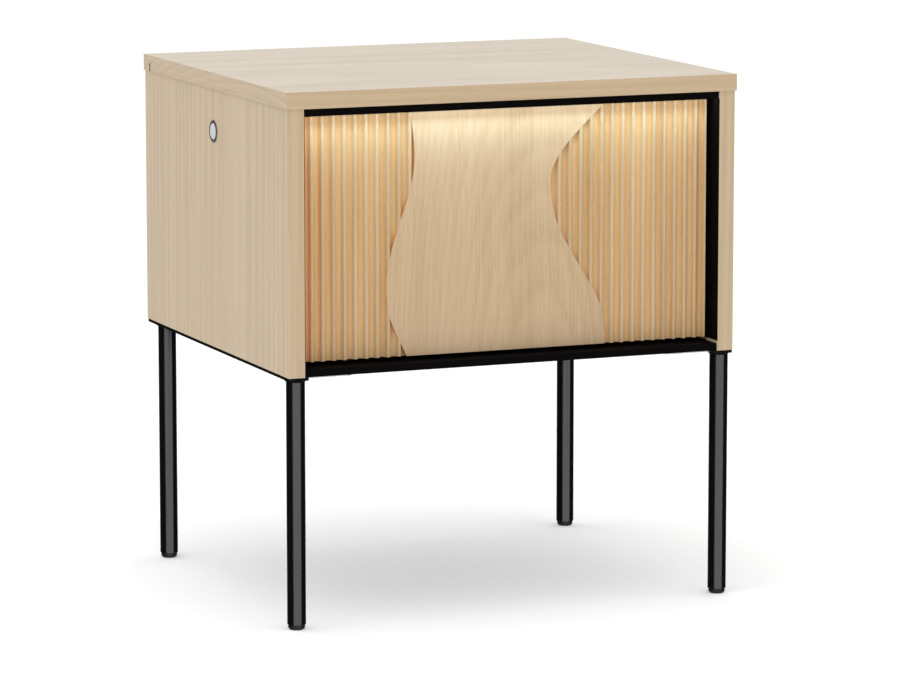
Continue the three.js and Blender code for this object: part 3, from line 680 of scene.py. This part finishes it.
def spline(points, steps=10):
    """A smooth line through the points, as Catmull and Rom draw it."""
    padded = [points[0], *points, points[-1]]
    line = []
    for index in range(1, len(padded) - 2):
        p0, p1, p2, p3 = (Vector(p) for p in padded[index - 1 : index + 3])
        for step in range(steps):
            t = step / steps
            line.append(
                0.5 * (2 * p1 + (p2 - p0) * t + (2 * p0 - 5 * p1 + 4 * p2 - p3) * t * t
                       + (3 * p1 - p0 - 3 * p2 + p3) * t ** 3)
            )
    line.append(Vector(points[-1]))
    return line


def flute_line(left, right, face):
    """The front's outline seen from above, from left to right: round hollows that run into round crests."""
    half = (right - left) / FLUTES / 2
    sweep = 2 * math.atan(FLUTE_DEPTH / half)
    hollow_radius = half / math.sin(sweep) - CREST_RADIUS
    crest = [sweep * step / 5 for step in range(-4, 5)]
    hollow = [sweep * (step / 7 - 1) for step in range(15)]
    line = []
    for border in range(FLUTES + 1):
        x = left + 2 * half * border
        for t in crest:
            line.append((x + CREST_RADIUS * math.sin(t), face + CREST_RADIUS * (1 - math.cos(t))))
        x += half
        floor = face + FLUTE_DEPTH
        for t in hollow:
            line.append((x + hollow_radius * math.sin(t), floor - hollow_radius * (1 - math.cos(t))))
    return [point for point in line if left + CORNER < point[0] < right - CORNER]


def wave_tool(front_low):
    """The smooth panel, which is joined to the fluted board."""
    bm = bmesh.new()
    edge = spline(WAVE_LEFT) + spline(WAVE_RIGHT)[::-1]
    shape = [(p.x * MM, front_low.z + p.y * MM) for p in edge]
    loft(bm, shape, front_low.y + 0.02 * MM, front_low.y + 6 * MM, along_y)
    tool = piece("wave_tool", bm, "drawer", ["flutes", "wave"])
    for polygon in tool.data.polygons:
        polygon.material_index = 1
    return tool


def groove_tool(front_high, gap=0.2 * MM, past=1 * MM):
    """What is cut from the board's back for the edge of the drawer's bottom."""
    low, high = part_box("drawer_bottom")
    start = front_high.y - 6.2 * MM
    outline = [(low.x - gap, low.z - gap), (high.x + gap, low.z - gap)]
    outline += [(high.x + gap, high.z + gap), (low.x - gap, high.z + gap)]
    bm = bmesh.new()
    loft(bm, outline, start, front_high.y + past, along_y)
    return piece("groove_tool", bm, "drawer", "flutes")


def add_front():
    low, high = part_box("drawer_front")
    line = flute_line(low.x, high.x, low.y)
    ends = (low.x, low.y + CORNER), (high.x, low.y + CORNER)
    outline = [(low.x, high.y), ends[0], *line, ends[1], (high.x, high.y)]
    bm = bmesh.new()
    loft(bm, outline[::-1], low.z, high.z, along_z)
    board = piece("front_board", bm, "drawer", ["flutes", "wave"], ["drawer_front"])

    tools = {"UNION": wave_tool(low), "DIFFERENCE": groove_tool(high)}
    for operation, tool in tools.items():
        change = board.modifiers.new(operation.lower(), "BOOLEAN")
        change.operation = operation
        change.solver = "EXACT"
        change.object = tool
    bpy.context.view_layer.update()
    made = bpy.data.meshes.new_from_object(board.evaluated_get(bpy.context.evaluated_depsgraph_get()))
    board.modifiers.clear()
    board.data = made
    made.shade_smooth()
    made.set_sharp_from_angle(angle=math.radians(30))
    for tool in tools.values():
        bpy.data.objects.remove(tool)


# ---- Drawer slides -------------------------------------------------------------------------


def channel(x_web, x_reach, half, z, lip, sheet=1.2 * MM):
    """A rolled channel's section: a web, two flanges and, unless lip is 0, lips that curl round the balls."""
    inward = sheet if x_reach > x_web else -sheet
    floor = z - half
    low = [(x_web, floor), (x_reach, floor)]
    if lip:
        back = x_reach - inward * 0.8
        low += [(x_reach, floor + lip), (back, floor + lip), (back, floor + sheet)]
    else:
        low.append((x_reach, floor + sheet))
    low.append((x_web + inward, floor + sheet))
    return low + [(x, 2 * z - height) for x, height in reversed(low)]


def add_slides():
    for side, sign in SIDES.items():
        members = (
            ("case", "cabinet", 1.9 * MM),
            ("middle", f"slide_middle_{side}", 0),
            ("drawer", "drawer", 0),
        )
        for kind, body, lip in members:
            node = f"slide_{kind}_{side}"
            low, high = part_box(node)
            web, reach = outer_x(node, sign), inner_x(node, sign)
            if kind == "drawer":
                web, reach = reach, web
            half, middle = (high.z - low.z) / 2, (high.z + low.z) / 2
            bm = bmesh.new()
            section = rounded(channel(web, reach, half, middle, lip), 0.9 * MM)
            loft(bm, section, low.y, high.y, along_y)
            piece(f"{node}_rail", bm, body, "zinc", [node])
        add_balls(side, sign)
        low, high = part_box(f"slide_drawer_{side}")
        seat = outer_x(f"drawer_side_{side}", sign) + sign * 1.2 * MM
        spots = [(seat, low.y + offset * MM, (low.z + high.z) / 2) for offset in (18, 145, 272)]
        turn = TO_X if sign > 0 else TO_MINUS_X
        screws(f"slide_screws_{side}", "drawer", spots, turn, radius=3.4 * MM, height=1.6 * MM)


def add_balls(side, sign):
    """Two rows of balls each side of the middle member, in their retainers."""
    body = f"slide_middle_{side}"
    low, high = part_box(body)
    x, z = sign * 206.4 * MM, (low.z + high.z) / 2
    spacing = 10 * MM
    half_width, half_sheet, margin = 1.9 * MM, 0.3 * MM, 4 * MM
    balls, cages = bmesh.new(), bmesh.new()
    # The rows that run in the case's member, and those that run in the drawer's.
    for gap, start in ((19.95 * MM, low.y + 165 * MM), (16.05 * MM, low.y + 14 * MM)):
        for level in (z - gap, z + gap):
            for index in range(11):
                place = Matrix.Translation((x, start + index * spacing, level))
                bmesh.ops.create_uvsphere(balls, u_segments=12, v_segments=8, radius=1.15 * MM, matrix=place)
            strip = [(x - half_width, level - half_sheet), (x + half_width, level - half_sheet)]
            strip += [(x + half_width, level + half_sheet), (x - half_width, level + half_sheet)]
            loft(cages, strip, start - margin, start + 10 * spacing + margin, along_y)
    piece(f"slide_balls_{side}", balls, body, "zinc", sharp=60)
    piece(f"slide_cages_{side}", cages, body, "black_plastic")


# ---- Latch and drawer box ------------------------------------------------------------------


def add_latch():
    soften("latch_housing", 0.5 * MM)
    low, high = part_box("latch_housing")
    top = low.z + 3 * MM
    spots = [(x * 12.2 * MM, y, top) for x in (-1, 1) for y in (low.y + 9 * MM, high.y - 9 * MM)]
    screws("latch_screws", "cabinet", spots, Matrix(), radius=3.0 * MM, height=1.5 * MM)
    low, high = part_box("latch_plunger")
    centre = ((low.x + high.x) / 2, 0, (low.z + high.z) / 2)
    tip, rod, neck = 5 * MM, 4 * MM, low.y + 2.5 * MM
    profile = [(0, low.y), (tip, low.y), (tip, neck), (rod, neck), (rod, high.y), (0, high.y)]
    bm = bmesh.new()
    lathe(bm, rounded(profile, 0.7 * MM, closed=False), centre, TO_Y, 48)
    piece("plunger_rod", bm, "latch_plunger", "white_plastic", ["latch_plunger"])


def add_box_screws():
    for side, sign in SIDES.items():
        box_side = f"drawer_side_{side}"
        low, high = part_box(box_side)
        heights = (low.z + 78 * MM, high.z - 18 * MM)
        spots = [(outer_x(box_side, sign), high.y - 6 * MM, z) for z in heights]
        turn = TO_X if sign > 0 else TO_MINUS_X
        screws(f"box_screws_{side}", "drawer", spots, turn, radius=3.2 * MM, height=0.5 * MM)


# ---- Floor ---------------------------------------------------------------------------------


def add_floor():
    bm = bmesh.new()
    bmesh.ops.create_grid(bm, x_segments=8, y_segments=8, size=FLOOR_HALF)
    mesh = bpy.data.meshes.new("floor")
    bm.to_mesh(mesh)
    bm.free()
    floor = bpy.data.objects.new("floor", mesh)
    paint = Paint("floor")
    soft = paint.noise(paint.place(), 3.0, detail=2)
    paint.shader.inputs["Emission Color"].default_value = (1, 1, 1, 1)
    paint.shader.inputs["Emission Strength"].default_value = FLOOR_GLOW
    colour = paint.mix(soft, (0.82, 0.82, 0.82), (0.84, 0.84, 0.84))
    mesh.materials.append(paint.finish(colour, 0.9, Specular_IOR_Level=0.0))
    floor.visible_glossy = False
    bpy.context.scene.collection.objects.link(floor)
    return floor


# ---- Lamp ----------------------------------------------------------------------------------


def add_lamp(floor):
    """The lit strip under the top: what it throws on the drawer front comes from a long, narrow light."""
    soften("lamp_profile", 0.25 * MM)
    low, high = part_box("lamp_diffuser")
    place = Vector(((low.x + high.x) / 2, low.y + 1.0 * MM, low.z - 0.8 * MM))
    target = place + Vector((0, 1.0 * MM, -20 * MM))
    size = (high.x - low.x, 5 * MM)
    lamp = area_light("lamp", place, target, size, LAMP_WATTS, (0.60, 0.85, 1.0), LAMP_SPREAD)
    # It is there for the drawer front, and throws no hard-edged patch on the floor.
    unlit = bpy.data.collections.new("not_lit_by_lamp")
    unlit.objects.link(floor)
    lamp.light_linking.receiver_collection = unlit
    unlit.collection_objects[0].light_linking.link_state = "EXCLUDE"

    # Warm light that the wood sends back into the corners between the sides and the front.
    low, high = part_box("drawer_front")
    middle = (low.z + high.z) / 2
    for side, sign in SIDES.items():
        inner = inner_x(f"side_trim_{side}", sign)
        place = (inner - sign * 0.5 * MM, low.y - 10 * MM, middle)
        target = (place[0] - sign * 10 * MM, low.y, middle)
        size = (10 * MM, high.z - low.z)
        area_light(f"corner_{side}", place, target, size, CORNER_WATTS[side], (1.0, 0.24, 0.0))


# ---- The whole scene -----------------------------------------------------------------------

add_camera()
add_studio()
floor = add_floor()
paint_frame()
for board in ("top_panel", "side_panel_left", "side_panel_right"):
    soften(board, 0.5 * MM)
for board in ("bottom_panel", "side_trim_left", "side_trim_right"):
    soften(board, 0.3 * MM)
for board in ("drawer_side_left", "drawer_side_right", "drawer_back"):
    soften(board, 0.3 * MM)
add_lamp(floor)
add_switch()
add_inlet()
add_legs()
add_underside()
add_front()
add_slides()
add_latch()
add_box_screws()
